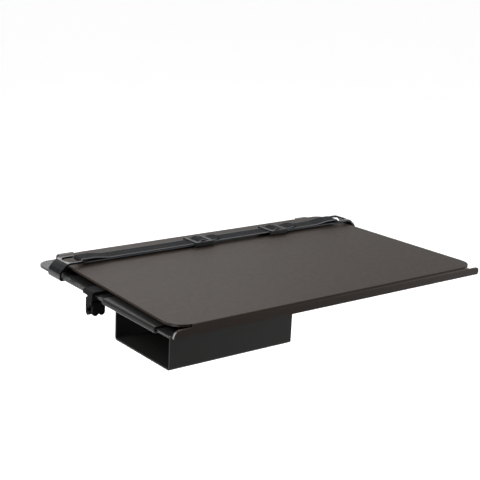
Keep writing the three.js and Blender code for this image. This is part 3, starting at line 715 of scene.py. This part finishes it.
def webbing_section(width, thickness):
    """Half-round selvedges and faces with shallow ribs, as (across, out) pairs."""
    half_width = width / 2 - STRAP_SELVEDGE
    half_thick = thickness / 2
    top = []
    for i in range(STRAP_RIBS * 2 + 1):
        across = -half_width + 2 * half_width * i / (STRAP_RIBS * 2)
        top.append((across, half_thick - (STRAP_RIB_DEPTH if i % 2 else 0)))
    edge = [
        (half_width + STRAP_SELVEDGE * math.cos(a), half_thick * math.sin(a))
        for a in map(math.radians, SELVEDGE_ANGLES)
    ]
    under = [(across, -out) for across, out in reversed(top)]
    other_edge = [(-across, -out) for across, out in edge]
    return top + edge + under + other_edge


def ribbon(name, line, width, thickness, shares=None):
    """Webbing along a line in X and Z. shares narrows it, one share of the width a point."""
    section = webbing_section(width, thickness)
    count = len(section)
    middle = strap_middle()
    form = bmesh.new()
    rings = []
    for i, here in enumerate(line):
        before = line[max(i - 1, 0)]
        after = line[min(i + 1, len(line) - 1)]
        along = (after - before).normalized()
        out = Vector((-along.y, along.x))
        share = shares[i] if shares else 1.0
        ring = []
        for across, height in section:
            spot = here + out * height
            ring.append(form.verts.new((spot.x, middle + across * share, spot.y)))
        rings.append(ring)
    for ring, following in zip(rings, rings[1:]):
        for i in range(count):
            j = (i + 1) % count
            form.faces.new((ring[i], ring[j], following[j], following[i]))
    form.faces.new(rings[0])
    form.faces.new(list(reversed(rings[-1])))
    bmesh.ops.recalc_face_normals(form, faces=form.faces)
    mesh = mesh_from(form, name)
    mesh.shade_smooth()
    return add_object(name, mesh)


def make_strap():
    """The strap itself, in place of its CAD solid."""
    piece = ribbon("strap_band", strap_line(), STRAP_WIDTH, STRAP_THICKNESS)
    finish_piece(piece, "strap_webbing")


def smooth_curve(points):
    """A line through the points, as a Catmull-Rom curve."""
    line = []
    last = len(points) - 1
    for i in range(last):
        a, b, c, d = (points[max(i - 1, 0)], points[i], points[i + 1], points[min(i + 2, last)])
        for step in range(SMOOTH_STEPS):
            t = step / SMOOTH_STEPS
            line.append(0.5 * (
                2 * b + (c - a) * t + (2 * a - 5 * b + 4 * c - d) * t ** 2
                + (3 * b - a - 3 * c + d) * t ** 3))
    line.append(points[last].copy())
    return line


def round_end(line, half_width):
    """Shares of the width that make the line's last stretch a round tongue."""
    to_end = [0.0]
    for here, there in zip(reversed(line[:-1]), reversed(line[1:])):
        to_end.append(to_end[-1] + (there - here).length)
    shares = []
    for distance in reversed(to_end):
        inward = 1 - min(1.0, distance / half_width)
        shares.append(max(ROUND_END_TIP, math.sqrt(1 - inward ** 2)))
    return shares


def ride_on_slider(piece, side):
    give(piece, materials["strap_fabric"])
    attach(piece, body_name(f"strap_slider_{side}"))


def make_slider_webbing(side):
    """The strap where it humps over the buckle's middle bar, and its loose end."""
    low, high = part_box(f"strap_slider_{side}")
    middle_x = (low[0] + high[0]) / 2
    hump = smooth_curve([Vector((middle_x + x * MM, high[2] + z * MM)) for x, z in HUMP_LINE])
    ride_on_slider(ribbon(f"strap_hump_{side}", hump, HUMP_WIDTH, HUMP_THICKNESS), side)
    reach = LOOSE_END_LENGTHS[side]
    loose = smooth_curve([
        Vector((high[0] + x * reach * MM, high[2] + z * MM)) for x, z in LOOSE_END_LINE])
    shares = round_end(loose, HUMP_WIDTH / 2)
    ride_on_slider(ribbon(f"strap_end_{side}", loose, HUMP_WIDTH, HUMP_THICKNESS, shares), side)


def seen_directly(s):
    """1 on rays from the camera, off glossy surfaces and through clear ones, and else 0."""
    path = s.add("ShaderNodeLightPath")
    seen = path.outputs["Is Camera Ray"]
    for kind in ("Is Glossy Ray", "Is Transmission Ray"):
        seen = s.math("MAXIMUM", seen, path.outputs[kind])
    return seen


def make_floor():
    """White paper that is white to look at and throws little light up at the object."""
    far = FLOOR_SIZE / 2
    mesh = bpy.data.meshes.new("floor")
    mesh.from_pydata(
        [(-far, -far, FLOOR_HEIGHT), (far, -far, FLOOR_HEIGHT),
         (far, far, FLOOR_HEIGHT), (-far, far, FLOOR_HEIGHT)], [], [(0, 1, 2, 3)])
    floor = add_object("floor", mesh)
    s = Surface("floor_paper")
    direct = seen_directly(s)
    white = s.spread(direct, FLOOR_BOUNCE, FLOOR_WHITE, (0.0, 1.0))
    clouds = s.spread(s.noise(*PAPER_CLOUDS), *PAPER_TONES)
    give(floor, s.shade({
        "Base Color": s.times(white, clouds),
        "Emission Strength": s.times(direct, FLOOR_GLOW),
        "Emission Color": WHITE,
        "Roughness": s.spread(s.noise(*PAPER_MARKS), *PAPER_ROUGHNESS),
        "Specular IOR Level": FLOOR_SPECULAR,
    }))


def make_world():
    """Even light, a white backdrop, and a dark ceiling and left rear off glossy surfaces."""
    world = bpy.data.worlds.new("studio")
    scene.world = world
    world.use_nodes = True
    studio = NodeTree(world.node_tree)
    direction = studio.add("ShaderNodeTexCoord").outputs["Generated"]
    gloss = BACKDROP_LEVEL
    for side, begin, full in DARK_PARTS:
        toward = studio.vector("DOT_PRODUCT", direction, Vector(side).normalized())
        fall = studio.spread(toward, BACKDROP_LEVEL, DARK_LEVEL, (begin, full), "SMOOTHSTEP")
        gloss = studio.math("MINIMUM", fall, gloss)
    path = studio.add("ShaderNodeLightPath")
    level = studio.mix(path.outputs["Is Glossy Ray"], AMBIENT_LEVEL, gloss)
    level = studio.mix(path.outputs["Is Transmission Ray"], level, BACKDROP_LEVEL)
    level = studio.mix(path.outputs["Is Camera Ray"], level, BACKDROP_LEVEL)
    light = studio.add("ShaderNodeBackground")
    studio.feed(light, "Color", WHITE)
    studio.feed(light, "Strength", level)
    studio.feed(studio.add("ShaderNodeOutputWorld"), 0, light.outputs[0])


def add_lamp(name, data, place, target):
    """A lamp at a place, which faces a point."""
    lamp = add_object(name, data)
    lamp.location = place
    lamp.rotation_euler = (Vector(place) - Vector(target)).to_track_quat("Z", "Y").to_euler()


def make_lamps():
    """The sun and the softboxes."""
    middle = (Vector(cad_box[0]) + Vector(cad_box[1])) / 2
    sun = bpy.data.lights.new("soft_sun", "SUN")
    sun.energy = SUN_LEVEL
    sun.angle = SUN_SPREAD
    add_lamp("soft_sun", sun, middle + Vector(SUN_FROM), middle)
    for name, place, target, width, height, watts, beam in SOFTBOXES:
        area = bpy.data.lights.new(name, "AREA")
        area.shape = "RECTANGLE"
        area.size = width
        area.size_y = height
        area.energy = watts
        area.spread = 2 * beam
        add_lamp(name, area, place, target)


make_camera()
materials = make_materials()
make_rigid_pieces()
make_strap()
for side in ("left", "right"):
    make_slider_webbing(side)
make_floor()
make_world()
make_lamps()
scene.view_settings.view_transform = "Standard"
